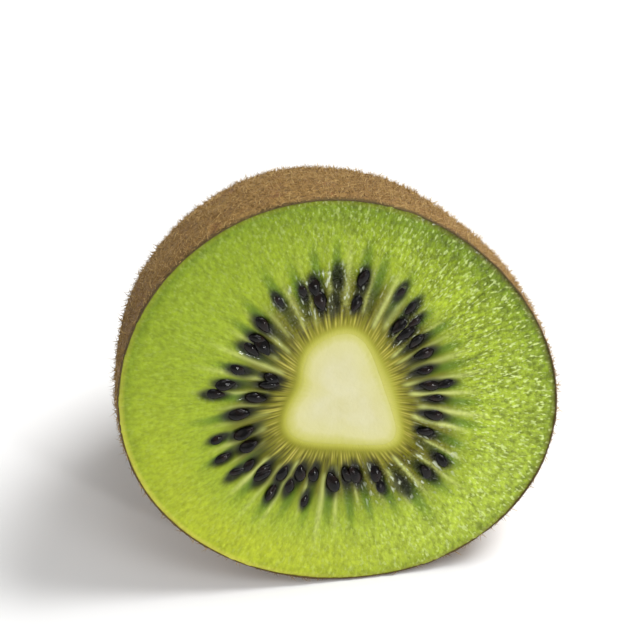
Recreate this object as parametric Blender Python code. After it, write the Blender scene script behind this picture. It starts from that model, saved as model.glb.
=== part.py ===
"""Half of a kiwi fruit, cut across its length, resting on its rounded side with the cut face turned up a little.

Metres, +Z up. The cut face looks towards -Y. Each piece is modelled with the cut face in its own XY plane and the
closed end of the fruit down its own -Z. An empty tips the pieces into place and stands them on the ground plane,
with the middle of the fruit's own box over the origin.
"""

import math

import bmesh
import bpy
from mathutils import Vector

# The outline at the cut: an ellipse, drawn out towards two opposite shoulders and a little three-sided.
HALF_WIDTH = 0.0252
HALF_HEIGHT = 0.0243
SHOULDER_SWELL = 0.041
THREE_SIDED_SWELL = 0.0155

# The closed end: a low button that stands in a shallow dimple.
HALF_LENGTH = 0.0320
DIMPLE_RADIUS = 0.0038
DIMPLE_WIDTH = 0.0013
DIMPLE_DEPTH = 0.0005
BUTTON_RADIUS = 0.0021
BUTTON_EDGE = 0.0013
BUTTON_HEIGHT = 0.0009

# The pale core's outline at the cut: four nearly straight sides, with the way each looks and how far it lies from
# the core's middle. Its corners are soft, and its left side is drawn in to a waist.
CORE_MIDDLE = Vector((0.00035, -0.00025))
CORE_TOP_DEG, CORE_TOP_REACH = 99.0, 0.0082
CORE_LEFT_DEG, CORE_LEFT_REACH = 177.0, 0.0069
CORE_FOOT_DEG, CORE_FOOT_REACH = 261.0, 0.0060
CORE_RIGHT_DEG, CORE_RIGHT_REACH = 14.5, 0.0050
CORE_CORNER_SHARPNESS = 4.1
CORE_WAIST_DEG = 150.0
CORE_WAIST_SPREAD_DEG = 37.0
CORE_WAIST_SHARE = 0.316

# The core narrows into the fruit. It sits in a hollow that is a hair wider all round.
CORE_DEPTH = 0.0270
CORE_BLUNTNESS = 0.6
FIT_GAP = 0.0003
BORE_OVERSHOOT = 0.0020

# How the half rests: its cut face leans back, and its underside is pressed flat where it stands.
FACE_TILT_DEG = 15.0
REST_FLAT_DEPTH = 0.0014
GROUND_BLOCK_SIDE = 0.12

# How finely the round shapes are divided.
BODY_SIDES = 72
BODY_RINGS = 24
END_RINGS = 14
END_START_DEG = 74.0
LAST_RING_SHARE = 0.015
CORE_SIDES = 48
CORE_RINGS = 9
SMOOTH_ANGLE_DEG = 40.0
FACING_OUT = 0.9

SKIN_BROWN = (0.31, 0.19, 0.07, 1.0)
FLESH_GREEN = (0.37, 0.46, 0.06, 1.0)
CORE_CREAM = (0.73, 0.69, 0.40, 1.0)
SKIN_ROUGHNESS = 0.8
FLESH_ROUGHNESS = 0.35
CORE_ROUGHNESS = 0.45


def clear_scene():
    for item in list(bpy.data.objects):
        bpy.data.objects.remove(item, do_unlink=True)


def make_material(name, colour, roughness):
    material = bpy.data.materials.new(name)
    material.use_nodes = True
    shader = material.node_tree.nodes["Principled BSDF"]
    shader.inputs["Base Color"].default_value = colour
    shader.inputs["Roughness"].default_value = roughness
    shader.inputs["Metallic"].default_value = 0.0
    material.diffuse_color = colour
    return material


def body_section(angle):
    """Point of the fruit's outline at the cut, in the plane of the cut, at this angle from its +X."""
    swell = 1.0 - SHOULDER_SWELL * math.sin(2 * angle) - THREE_SIDED_SWELL * math.sin(3 * angle)
    return Vector((HALF_WIDTH * math.cos(angle), HALF_HEIGHT * math.sin(angle))) * swell


def core_section(angle, spare=0.0):
    """Point of the core's outline at the cut, at this angle about its middle, made wider all round by spare."""
    sides = (
        (CORE_TOP_DEG, CORE_TOP_REACH),
        (CORE_LEFT_DEG, CORE_LEFT_REACH),
        (CORE_FOOT_DEG, CORE_FOOT_REACH),
        (CORE_RIGHT_DEG, CORE_RIGHT_REACH),
    )
    nearness = [max(0.0, math.cos(angle - math.radians(turn)) / reach) for turn, reach in sides]
    radius = sum(near**CORE_CORNER_SHARPNESS for near in nearness) ** (-1.0 / CORE_CORNER_SHARPNESS)
    from_waist = math.remainder(angle - math.radians(CORE_WAIST_DEG), 2 * math.pi)
    radius *= 1.0 - CORE_WAIST_SHARE * math.exp(-((from_waist / math.radians(CORE_WAIST_SPREAD_DEG)) ** 2))
    return CORE_MIDDLE + Vector((math.cos(angle), math.sin(angle))) * (radius + spare)


def smooth_step(value):
    value = min(1.0, max(0.0, value))
    return value * value * (3.0 - 2.0 * value)


def end_relief(from_axis):
    """How far the closed end stands out of a plain oval at this distance from the fruit's axis."""
    dimple = DIMPLE_DEPTH * math.exp(-(((from_axis - DIMPLE_RADIUS) / DIMPLE_WIDTH) ** 2))
    button = BUTTON_HEIGHT * smooth_step((BUTTON_RADIUS - from_axis) / BUTTON_EDGE + 0.5)
    return button - dimple


def body_profile():
    """Each ring of the fruit, from the cut to the closed end, as (share of the outline's size, depth)."""
    end_start = math.radians(END_START_DEG)
    last = math.acos(LAST_RING_SHARE)
    turns = [end_start * i / BODY_RINGS for i in range(BODY_RINGS)]
    turns += [end_start + (last - end_start) * i / END_RINGS for i in range(END_RINGS + 1)]
    profile = []
    for turn in turns:
        share = math.cos(turn)
        profile.append((share, HALF_LENGTH * math.sin(turn) + end_relief(share * HALF_HEIGHT)))
    return profile


def core_profile(depth):
    """Each ring of the core, from the cut to its blunt tip, as (share of the outline's size, depth)."""
    last = math.acos(LAST_RING_SHARE)
    turns = [last * i / CORE_RINGS for i in range(CORE_RINGS + 1)]
    return [(math.cos(turn) ** CORE_BLUNTNESS, depth * math.sin(turn)) for turn in turns]


def add_ring(mesh, sides, section, centre, share, depth):
    """Adds one ring of the outline, shrunk towards the centre, and returns its edges."""
    ring = bmesh.ops.create_circle(mesh, segments=sides, radius=1.0)["verts"]
    for vert in ring:
        outline = section(math.atan2(vert.co.y, vert.co.x))
        vert.co = (centre + (outline - centre) * share).to_3d()
        vert.co.z = -depth
    return list({edge for vert in ring for edge in vert.link_edges})


def make_tapered_solid(name, sides, section, centre, profile):
    """A closed solid with a flat end at its own z = 0: rings of one outline, bridged one to the next."""
    mesh = bmesh.new()
    rings = [add_ring(mesh, sides, section, centre, share, depth) for share, depth in profile]
    for upper, lower in zip(rings, rings[1:]):
        bmesh.ops.bridge_loops(mesh, edges=upper + lower)
    bmesh.ops.edgeloop_fill(mesh, edges=rings[0])
    bmesh.ops.edgeloop_fill(mesh, edges=rings[-1])
    bmesh.ops.recalc_face_normals(mesh, faces=mesh.faces)
    data = bpy.data.meshes.new(name)
    mesh.to_mesh(data)
    mesh.free()
    item = bpy.data.objects.new(name, data)
    bpy.context.scene.collection.objects.link(item)
    return item


def make_cutter(item):
    item.hide_render = True
    item.display_type = "WIRE"
    return item


def cut_away(item, cutter, name):
    boolean = item.modifiers.new(name, "BOOLEAN")
    boolean.operation = "DIFFERENCE"
    boolean.solver = "EXACT"
    boolean.object = cutter


def make_body():
    """The fruit: brown skin over the outside, green flesh on the cut."""
    body = make_tapered_solid("flesh", BODY_SIDES, body_section, Vector((0, 0)), body_profile())
    body.data.materials.append(make_material("skin", SKIN_BROWN, SKIN_ROUGHNESS))
    body.data.materials.append(make_material("cut_flesh", FLESH_GREEN, FLESH_ROUGHNESS))
    for face in body.data.polygons:
        face.material_index = 1 if face.normal.z > FACING_OUT else 0
    body.data.shade_smooth()
    body.data.set_sharp_from_angle(angle=math.radians(SMOOTH_ANGLE_DEG))
    return body


def make_core():
    core = make_tapered_solid("core", CORE_SIDES, core_section, CORE_MIDDLE, core_profile(CORE_DEPTH))
    core.data.materials.append(make_material("core", CORE_CREAM, CORE_ROUGHNESS))
    core.data.shade_smooth()
    core.data.set_sharp_from_angle(angle=math.radians(SMOOTH_ANGLE_DEG))
    return core


def make_core_bore():
    """The hollow that the core fills, a hair wider and deeper than it, and open past the cut."""

    def outline(angle):
        return core_section(angle, FIT_GAP)

    profile = [(1.0, -BORE_OVERSHOOT)] + core_profile(CORE_DEPTH + FIT_GAP)
    bore = make_tapered_solid("core_bore", CORE_SIDES, outline, CORE_MIDDLE, profile)
    bore.data.materials.append(bpy.data.materials["cut_flesh"])
    return make_cutter(bore)


def make_ground_block():
    """What the pressed flat on the underside is cut with: a block whose top is the ground plane."""
    mesh = bmesh.new()
    bmesh.ops.create_cube(mesh, size=GROUND_BLOCK_SIDE)
    bmesh.ops.translate(mesh, verts=mesh.verts, vec=(0, 0, -GROUND_BLOCK_SIDE / 2))
    data = bpy.data.meshes.new("ground_block")
    mesh.to_mesh(data)
    mesh.free()
    item = bpy.data.objects.new("ground_block", data)
    bpy.context.scene.collection.objects.link(item)
    return make_cutter(item)


def stand_on_ground(holder, body):
    """Moves the holder until the body's box is centred over the origin and the ground cuts off the flat's depth."""
    bpy.context.view_layer.update()
    corners = [body.matrix_world @ vert.co for vert in body.data.vertices]
    lows = [min(corner[i] for corner in corners) for i in range(3)]
    highs = [max(corner[i] for corner in corners) for i in range(3)]
    middle = [(low + high) / 2 for low, high in zip(lows, highs)]
    holder.location = (-middle[0], -middle[1], -lows[2] - REST_FLAT_DEPTH)


def main():
    clear_scene()
    body = make_body()
    core = make_core()
    bore = make_core_bore()
    holder = bpy.data.objects.new("kiwi_half", None)
    bpy.context.scene.collection.objects.link(holder)
    for item in (body, core, bore):
        item.parent = holder
    holder.rotation_euler = (math.radians(90.0 - FACE_TILT_DEG), 0.0, 0.0)
    stand_on_ground(holder, body)
    cut_away(body, bore, "core_bore")
    cut_away(body, make_ground_block(), "rest_flat")


main()
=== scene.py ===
"""Half of a kiwi fruit, cut across, resting on its rounded side with the wet green cut turned up.

Every piece is modelled in the cut's own axes (x to the right, y up the face, z out of it), about the point
where the fruit's long axis meets the cut, and is then laid into the frame's place. Lengths are metres; MM
turns millimetres into them.
"""

from __future__ import annotations

import logging
import math
from collections.abc import Sequence
from dataclasses import dataclass, field
from enum import Enum
from typing import Any

import bmesh
import bpy
import numpy as np
from mathutils import Euler, Matrix, Vector, noise


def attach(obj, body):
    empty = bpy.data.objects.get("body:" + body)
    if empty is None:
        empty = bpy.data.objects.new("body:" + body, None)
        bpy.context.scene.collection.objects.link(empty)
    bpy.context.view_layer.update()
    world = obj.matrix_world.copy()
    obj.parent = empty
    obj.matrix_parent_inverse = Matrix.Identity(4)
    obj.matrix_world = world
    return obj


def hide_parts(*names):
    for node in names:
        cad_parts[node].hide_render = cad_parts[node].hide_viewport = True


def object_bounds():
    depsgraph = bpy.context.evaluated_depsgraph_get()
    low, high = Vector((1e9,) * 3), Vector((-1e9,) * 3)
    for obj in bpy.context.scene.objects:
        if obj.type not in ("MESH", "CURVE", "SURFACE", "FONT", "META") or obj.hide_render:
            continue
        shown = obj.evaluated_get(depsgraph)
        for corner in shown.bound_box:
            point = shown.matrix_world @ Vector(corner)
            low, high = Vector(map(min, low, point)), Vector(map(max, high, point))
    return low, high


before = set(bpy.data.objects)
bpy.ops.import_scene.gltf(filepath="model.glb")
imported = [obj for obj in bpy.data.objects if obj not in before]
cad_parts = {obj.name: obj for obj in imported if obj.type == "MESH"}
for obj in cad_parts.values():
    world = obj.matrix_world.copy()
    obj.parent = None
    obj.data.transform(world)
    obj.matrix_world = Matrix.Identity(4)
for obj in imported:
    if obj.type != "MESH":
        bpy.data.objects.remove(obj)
CAD_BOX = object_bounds()

MM = 0.001
FULL_TURN = 2.0 * math.pi
BODY = "root"
WELD = 1e-6
FACE_BELOW = -1e-4
log = logging.getLogger("kiwi_half")

Colour = tuple[float, float, float]
Socket = bpy.types.NodeSocket


# ---------------------------------------------------------------- small tools


def srgb(red: float, green: float, blue: float) -> tuple[float, float, float, float]:
    """Gives the linear colour of an sRGB colour whose parts run from 0 to 255.

    Args:
        red: Red part.
        green: Green part.
        blue: Blue part.

    Returns:
        Linear red, green, blue and an alpha of 1.
    """
    parts = [part / 255.0 for part in (red, green, blue)]
    linear = [part / 12.92 if part <= 0.04045 else ((part + 0.055) / 1.055) ** 2.4 for part in parts]
    return (linear[0], linear[1], linear[2], 1.0)


def smooth_step(values: np.ndarray, low: float | np.ndarray, high: float | np.ndarray) -> np.ndarray:
    """Rises smoothly from 0 at low to 1 at high.

    Args:
        values: Where to read the step.
        low: Value at which the step starts.
        high: Value at which it ends.

    Returns:
        The step at each value.
    """
    share = np.clip((values - low) / (high - low), 0.0, 1.0)
    return share * share * (3.0 - 2.0 * share)


def turn_from(angles: np.ndarray, centre: float) -> np.ndarray:
    """Gives the smallest turn from the centre to each angle, in radians, signed."""
    return (angles - centre + math.pi) % FULL_TURN - math.pi


class Part(Enum):
    """A part of the cut: where its middle lies round the core, and its spread to each side, in degrees."""

    HALO_SIDE = (-8.0, 55.0)
    HALO_TOP = (95.0, 40.0)
    SHADED_BAND = (50.0, 60.0)
    SHADED_EDGE = (35.0, 60.0)
    SHADED_TOP = (115.0, 60.0)
    SHADED_SIDE = (20.0, 50.0)
    LIT_FOOT = (245.0, 45.0)
    WET_TOP = (92.0, 24.0)
    WET_FOOT = (305.0, 26.0)
    WET_CORNER = (42.0, 9.0)
    QUIET_SIDE = (180.0, 60.0)
    PALE_FOOT = (-55.0, 60.0)
    YELLOW_FOOT = (236.0, 48.0)
    GLISTENING_SIDE = (5.0, 72.0)
    PALE_EDGE = (212.0, 52.0)
    DARK_EDGE = (20.0, 75.0)

    def over(self, angles: np.ndarray) -> np.ndarray:
        """Gives a soft hump over angles: 1 at the part's middle, faded out a spread or two away."""
        middle, spread = map(math.radians, self.value)
        return np.exp(-((turn_from(angles, middle) / spread) ** 2))


@dataclass(frozen=True)
class Grain:
    """One layer of unevenness: how far it stands out, the width of one lump, and its part of the noise."""

    height: float
    size: float
    seed: float

    SHIFT = (17.3, -9.1, 5.7)

    def over(self, points: np.ndarray) -> np.ndarray:
        """Gives how far the layer stands out, or is sunk in, at points in space.

        Args:
            points: Points in space, one a row.

        Returns:
            The height at each point.
        """
        shift = Vector([self.seed * part for part in self.SHIFT])
        lumps = [noise.noise(Vector(point) / self.size + shift) for point in points.tolist()]
        return self.height * np.array(lumps)


def vertices_of(mesh: bpy.types.Mesh) -> np.ndarray:
    """Gives a mesh's vertices as an array, one a row.

    Args:
        mesh: The mesh to read.

    Returns:
        The vertices' places.
    """
    found = np.empty(len(mesh.vertices) * 3)
    mesh.vertices.foreach_get("co", found)
    return found.reshape(-1, 3)


def move_vertices(mesh: bpy.types.Mesh, places: np.ndarray) -> None:
    """Moves a mesh's vertices to new places, one a row."""
    mesh.vertices.foreach_set("co", places.astype(np.float32).ravel())
    mesh.update()


def write_masks(mesh: bpy.types.Mesh, masks: dict[str, np.ndarray]) -> None:
    """Keeps numbers for each vertex of a mesh, by name, for its finish to read."""
    for name, values in masks.items():
        attribute = mesh.attributes.new(name, "FLOAT", "POINT")
        attribute.data.foreach_set("value", values.astype(np.float32))


def add_object(name: str, data: bpy.types.ID) -> bpy.types.Object:
    """Adds an object to the scene.

    Args:
        name: The object's name.
        data: The mesh, light or camera that it holds.

    Returns:
        The new object.
    """
    item = bpy.data.objects.new(name, data)
    bpy.context.scene.collection.objects.link(item)
    return item


def activate(item: bpy.types.Object | None) -> None:
    """Deselects everything and makes one object the selected and active one.

    Args:
        item: The object, or None to leave nothing selected.
    """
    bpy.ops.object.select_all(action="DESELECT")
    if item:
        item.select_set(True)
    bpy.context.view_layer.objects.active = item


def spin_profile(name: str, profile: Sequence[tuple[float, float]], columns: int) -> bpy.types.Object:
    """Turns a profile round the z axis into a shell, its seam and poles merged.

    Args:
        name: Name of the new object.
        profile: Points as (distance from the axis, height).
        columns: How many steps the full turn has.

    Returns:
        The new object, in object mode.
    """
    mesh = bpy.data.meshes.new(name)
    points = [(across, 0.0, height) for across, height in profile]
    mesh.from_pydata(points, [(i, i + 1) for i in range(len(points) - 1)], [])
    item = add_object(name, mesh)
    activate(item)
    bpy.ops.object.mode_set(mode="EDIT")
    bpy.ops.mesh.select_all(action="SELECT")
    bpy.ops.mesh.spin(steps=columns, angle=FULL_TURN, center=(0, 0, 0), axis=(0, 0, 1))
    bpy.ops.mesh.select_all(action="SELECT")
    bpy.ops.mesh.remove_doubles(threshold=WELD)
    bpy.ops.mesh.normals_make_consistent(inside=False)
    bpy.ops.object.mode_set(mode="OBJECT")
    settle_faces(mesh)
    return item


def settle_faces(mesh: bpy.types.Mesh) -> None:
    """Puts the faces in one fixed order, each from its lowest corner.

    A spin leaves them in a new order every run, and the hair that is planted on them would differ with it.

    Args:
        mesh: The mesh to put in order.
    """
    places = vertices_of(mesh)
    faces = []
    for face in mesh.polygons:
        corners = list(face.vertices)
        first = corners.index(min(corners))
        faces.append(corners[first:] + corners[:first])
    mesh.clear_geometry()
    mesh.from_pydata(places.tolist(), [], sorted(faces))


def put_in_place(item: bpy.types.Object, matrix: Matrix) -> None:
    """Lays a piece modelled in the cut's axes into the frame, with its place in its mesh.

    Args:
        item: The piece.
        matrix: The turn and shift from the cut's axes to the frame's.
    """
    item.matrix_world = matrix
    activate(item)
    bpy.ops.object.transform_apply(location=True, rotation=True, scale=True)


def hand_over(item: bpy.types.Object, slot: str, *nodes: str) -> None:
    """Smooths a finished piece, hangs it on its body, hides the CAD nodes it stands for and logs its material
    slot.

    Args:
        item: The finished piece.
        slot: The record's material slot.
        nodes: CAD nodes that the piece replaces.
    """
    item.data.shade_smooth()
    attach(item, BODY)
    if nodes:
        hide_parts(*nodes)
    item.data.calc_loop_triangles()
    log.info("piece %s: %d triangles, slot %s", item.name, len(item.data.loop_triangles), slot)


# ---------------------------------------------------------------- the fruit's form, read off the frame


@dataclass(frozen=True)
class Outline:
    """A smooth closed outline round a middle, as a Fourier series of its radius."""

    steady: float
    cosines: np.ndarray
    sines: np.ndarray

    STEPS = 8

    @classmethod
    def through(cls, points: np.ndarray, order: int) -> Outline:
        """Fits an outline through a polygon in the cut's plane.

        Args:
            points: The polygon's corners as rows of x and y, from the outline's middle.
            order: How many waves round the outline the series holds.

        Returns:
            The outline.
        """
        ring = points[np.argsort(np.arctan2(points[:, 1], points[:, 0]))]
        side = np.roll(ring, -1, axis=0) - ring
        shares = np.arange(cls.STEPS) / cls.STEPS
        points = (ring[:, None] + side[:, None] * shares[:, None]).reshape(-1, 2)
        waves = np.outer(np.arctan2(points[:, 1], points[:, 0]), np.arange(1, order + 1))
        columns = np.hstack([np.ones((len(points), 1)), np.cos(waves), np.sin(waves)])
        found = np.linalg.lstsq(columns, np.hypot(points[:, 0], points[:, 1]), rcond=None)[0]
        return cls(float(found[0]), found[1 : order + 1], found[order + 1 :])

    def radius(self, angles: np.ndarray) -> np.ndarray:
        """Gives the outline's radius at each angle."""
        waves = np.multiply.outer(angles, np.arange(1, len(self.cosines) + 1))
        return self.steady + np.cos(waves) @ self.cosines + np.sin(waves) @ self.sines


@dataclass(frozen=True)
class FruitForm:
    """The cut's place and axes and the fruit's true form, all measured on the CAD nodes."""

    place: Vector
    axes: Matrix
    rim: Outline
    core: Outline
    depth: float

    RIM_ORDER = 6
    CORE_ORDER = 14
    ON_FACE = 0.9999
    TIP_REACH = 0.02 * MM
    RIM_SHARE = 0.6
    HALO_SIDE_REACH = 0.75 * MM
    HALO_TOP_REACH = 0.35 * MM
    PRESS_SOFTNESS = 0.25 * MM

    @classmethod
    def measured(cls, flesh: bpy.types.Object, core: bpy.types.Object) -> FruitForm:
        """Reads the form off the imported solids.

        Args:
            flesh: The CAD node of the whole half.
            core: The CAD node of the pale core.

        Returns:
            The fruit's form.
        """
        out = cls._largest_flat(flesh.data)
        right = Vector((0, 0, 1)).cross(out).normalized()
        axes = Matrix((right, out.cross(right), out)).transposed()
        along = vertices_of(flesh.data) @ np.array(out)
        tip = Vector(vertices_of(flesh.data)[along < along.min() + cls.TIP_REACH].mean(axis=0))
        core_face = cls._face_points(core.data, out)
        depth = float((core_face @ np.array(out)).mean() - along.min())
        place = tip + out * depth
        core_flat = (core_face - np.array(place)) @ np.array(axes)
        rim_flat = (cls._face_points(flesh.data, out) - np.array(place)) @ np.array(axes)
        far = np.hypot(rim_flat[:, 0], rim_flat[:, 1])
        rim = Outline.through(rim_flat[far > cls.RIM_SHARE * far.max(), :2], cls.RIM_ORDER)
        return cls(place, axes, rim, Outline.through(core_flat[:, :2], cls.CORE_ORDER), depth)

    @staticmethod
    def _largest_flat(mesh: bpy.types.Mesh) -> Vector:
        """Gives the normal that most of a mesh's area shares: that of the cut.

        Args:
            mesh: The mesh of the whole half.

        Returns:
            The normal, in the frame's axes.
        """
        areas: dict[tuple[float, ...], float] = {}
        for polygon in mesh.polygons:
            key = tuple(round(part, 3) for part in polygon.normal)
            areas[key] = areas.get(key, 0.0) + polygon.area
        return Vector(max(areas, key=lambda key: areas[key])).normalized()

    @classmethod
    def _face_points(cls, mesh: bpy.types.Mesh, out: Vector) -> np.ndarray:
        """Gives the corners of a mesh's flat end that faces out of the cut, each once.

        Args:
            mesh: The mesh to read.
            out: The way that the cut faces.

        Returns:
            The corners, one a row, in the frame's axes.
        """
        facing = [face for face in mesh.polygons if face.normal.dot(out) > cls.ON_FACE]
        corners = {index for face in facing for index in face.vertices}
        places = {tuple(round(part, 6) for part in mesh.vertices[index].co) for index in corners}
        return np.array(sorted(places))

    def matrix(self) -> Matrix:
        """Gives the turn and shift from the cut's axes to the frame's."""
        return Matrix.Translation(self.place) @ self.axes.to_4x4()

    def section(self, angles: np.ndarray, shares: np.ndarray, inward: float = 0.0) -> np.ndarray:
        """Gives points of the fruit's cross-sections.

        Args:
            angles: Angle of each point about the fruit's long axis.
            shares: Size of each point's cross-section as a share of the cut's.
            inward: How far inside the cut's outline the largest section lies.

        Returns:
            The points' x and y, one a row.
        """
        reach = (self.rim.radius(angles) - inward) * shares
        return np.stack([np.cos(angles) * reach, np.sin(angles) * reach], axis=1)

    def halo(self, angles: np.ndarray) -> np.ndarray:
        """Gives how far past its outline the core's pale colour reaches at each angle."""
        beside = self.HALO_SIDE_REACH * Part.HALO_SIDE.over(angles)
        return beside + self.HALO_TOP_REACH * Part.HALO_TOP.over(angles)

    def rest_on_ground(self, mesh: bpy.types.Mesh, spare: float) -> None:
        """Presses flat what would reach below the ground, for a mesh still in the cut's axes.

        Args:
            mesh: The mesh to change.
            spare: How far above the ground the pressed part stays.
        """
        softness = self.PRESS_SOFTNESS
        matrix = np.array(self.matrix())
        places = vertices_of(mesh) @ matrix[:3, :3].T + matrix[:3, 3]
        over = places[:, 2] - spare
        pressed = softness * np.logaddexp(0.0, over / softness)
        places[:, 2] = spare + np.where(over > 3 * softness, over, pressed)
        move_vertices(mesh, (places - matrix[:3, 3]) @ matrix[:3, :3])


# ---------------------------------------------------------------- finishes


class Nodes:
    """A node tree, built one node at a time."""

    def __init__(self, tree: bpy.types.NodeTree) -> None:
        """Takes up a tree to build in."""
        self.tree = tree

    def node(self, kind: str, inputs: dict[Any, Any] | None = None, **settings: Any) -> bpy.types.Node:
        """Adds a node.

        Args:
            kind: The node's type name; a shader node's may lack its ShaderNode start.
            inputs: Value or source socket of each input, by the input's name or number.
            settings: The node's own settings.

        Returns:
            The new node.
        """
        made = self.tree.nodes.new(kind if "Node" in kind else "ShaderNode" + kind)
        for setting, value in settings.items():
            setattr(made, setting, value)
        for key, value in (inputs or {}).items():
            self.feed(made.inputs[key], value)
        return made

    def feed(self, socket: Socket, value: Any) -> None:
        """Links a socket to its source, or sets it to a value."""
        if isinstance(value, bpy.types.NodeSocket):
            self.tree.links.new(value, socket)
        else:
            socket.default_value = value

    def maths(self, operation: str, *values: Any) -> Socket:
        """Gives the result of one sum."""
        return self.node("Math", dict(enumerate(values)), operation=operation).outputs[0]

    def vector(self, operation: str, first: Any, second: Any = None) -> Socket:
        """Gives the result of one sum on vectors.

        Args:
            operation: The sum's name.
            first: The first vector.
            second: The second vector, or the number that SCALE takes, or nothing.

        Returns:
            The vector, or the number that LENGTH gives.
        """
        inputs = {0: first}
        if second is not None:
            inputs["Scale" if operation == "SCALE" else 1] = second
        made = self.node("VectorMath", inputs, operation=operation)
        return made.outputs["Value" if operation == "LENGTH" else "Vector"]


class Recipe(Nodes):
    """A material's node tree round one Principled shader."""

    def __init__(self, name: str) -> None:
        """Starts an empty material.

        Args:
            name: The material's name.
        """
        self.material = bpy.data.materials.new(name)
        self.material.use_nodes = True
        super().__init__(self.material.node_tree)
        self.shader = self.tree.nodes["Principled BSDF"]

    def set(self, **values: Any) -> None:
        """Feeds the shader's inputs, each named by its own name with _ for spaces."""
        for name, value in values.items():
            self.feed(self.shader.inputs[name.replace("_", " ").title().replace("Ior", "IOR")], value)

    def mask(self, name: str) -> Socket:
        """Gives a number kept on the mesh."""
        return self.node("Attribute", attribute_name=name).outputs["Fac"]

    def times(self, *values: Any) -> Socket:
        """Gives the product of several values.

        Args:
            values: Numbers or sockets, the first of them a socket where there is one.

        Returns:
            The product.
        """
        product = values[0]
        for value in values[1:]:
            product = self.maths("MULTIPLY", product, value)
        return product

    def spread(
        self, value: Socket, low: float, high: float, to_low: float = 0.0, to_high: float = 1.0
    ) -> Socket:
        """Stretches a value from one range to another, and holds it inside."""
        inputs = {"Value": value, "From Min": low, "From Max": high, "To Min": to_low, "To Max": to_high}
        return self.node("MapRange", inputs, clamp=True).outputs["Result"]

    def mix(self, factor: Any, first: Any, second: Any, blend: str = "MIX") -> Socket:
        """Gives one colour laid over another by a factor."""
        inputs = {0: factor, 6: first, 7: second}
        return self.node("Mix", inputs, data_type="RGBA", blend_type=blend, clamp_factor=True).outputs[2]

    def lay(self, base: Socket, factor: Any, colour: Colour) -> Socket:
        """Gives a ground colour with an sRGB colour laid over it by a factor."""
        return self.mix(factor, base, srgb(*colour))

    def ramp(self, factor: Socket, stops: Sequence[tuple[float, Any]]) -> Socket:
        """Gives the colour that a row of stops has at the factor.

        Args:
            factor: Where to read the row, from 0 to 1.
            stops: Place and colour of each stop, in order.

        Returns:
            The colour.
        """
        made = self.node("ValToRGB", {"Fac": factor})
        made.color_ramp.interpolation = "B_SPLINE"
        elements = made.color_ramp.elements
        elements[0].position, elements[1].position = stops[0][0], stops[-1][0]
        elements[0].color, elements[1].color = stops[0][1], stops[-1][1]
        for place, colour in stops[1:-1]:
            elements.new(place).color = colour
        return made.outputs["Color"]

    def brighten(self, colour: Socket, light: Socket) -> Socket:
        """Gives a colour made lighter or darker by a factor."""
        grey = self.node("CombineColor", {0: light, 1: light, 2: light}).outputs[0]
        return self.mix(1.0, colour, grey, "MULTIPLY")

    def noise(self, vector: Socket, scale: float, detail: float = 3.0, rough: float = 0.55) -> Socket:
        """Gives soft noise from 0 to 1 over a place."""
        inputs = {"Vector": vector, "Scale": scale, "Detail": detail, "Roughness": rough}
        return self.node("TexNoise", inputs).outputs["Fac"]

    def cells(self, vector: Socket, scale: float) -> Socket:
        """Gives the distance to the nearest cell middle over a place."""
        return self.node("TexVoronoi", {"Vector": vector, "Scale": scale}).outputs["Distance"]

    def bump(self, height: Socket, distance: float, strength: float = 1.0) -> Socket:
        """Gives the surface's direction after a height is pressed into it."""
        inputs = {"Height": height, "Distance": distance, "Strength": strength}
        return self.node("Bump", inputs).outputs["Normal"]

    def cut_place(self, form: FruitForm) -> Socket:
        """Gives the place in the cut's own axes, in millimetres.

        Args:
            form: The fruit's form, which knows where the cut is.

        Returns:
            The place.
        """
        back = form.matrix().inverted()
        inputs = {
            "Vector": self.node("TexCoord").outputs["Object"],
            "Location": back.to_translation() / MM,
            "Rotation": back.to_euler("XYZ"),
            "Scale": (1 / MM, 1 / MM, 1 / MM),
        }
        return self.node("Mapping", inputs, vector_type="POINT").outputs["Vector"]

    def rays(self, cut_place: Socket, count: float, stretch: float, detail: float = 2.0) -> Socket:
        """Gives noise drawn out along the radii of the cut.

        Args:
            cut_place: Place in the cut's axes.
            count: About how many streaks lie round the full turn.
            stretch: Length of a streak, in millimetres.
            detail: How many finer layers the noise has.

        Returns:
            The noise, from 0 to 1.
        """
        parts = self.node("SeparateXYZ", {"Vector": cut_place})
        flat = self.node("CombineXYZ", {"X": parts.outputs["X"], "Y": parts.outputs["Y"]}).outputs["Vector"]
        around = self.vector("SCALE", self.vector("NORMALIZE", flat), count / FULL_TURN)
        reach = self.maths("MULTIPLY", self.vector("LENGTH", flat), 1.0 / stretch)
        outward = self.node("CombineXYZ", {"Z": reach}).outputs["Vector"]
        return self.noise(self.vector("ADD", around, outward), 1.0, detail)


class Finish:
    """A material whose patterns follow the cut."""

    NAME = "plain"

    def build(self, form: FruitForm) -> bpy.types.Material:
        """Builds the material for a fruit of this form.

        Args:
            form: The fruit's form.

        Returns:
            The material.
        """
        recipe = Recipe(self.NAME)
        self.dress(recipe, recipe.cut_place(form))
        return recipe.material

    def dress(self, recipe: Recipe, cut: Socket) -> None:
        """Lays the look on the recipe's shader, from the place in the cut's axes.

        Args:
            recipe: The material to dress.
            cut: Place in the cut's axes.
        """
        raise NotImplementedError


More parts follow.
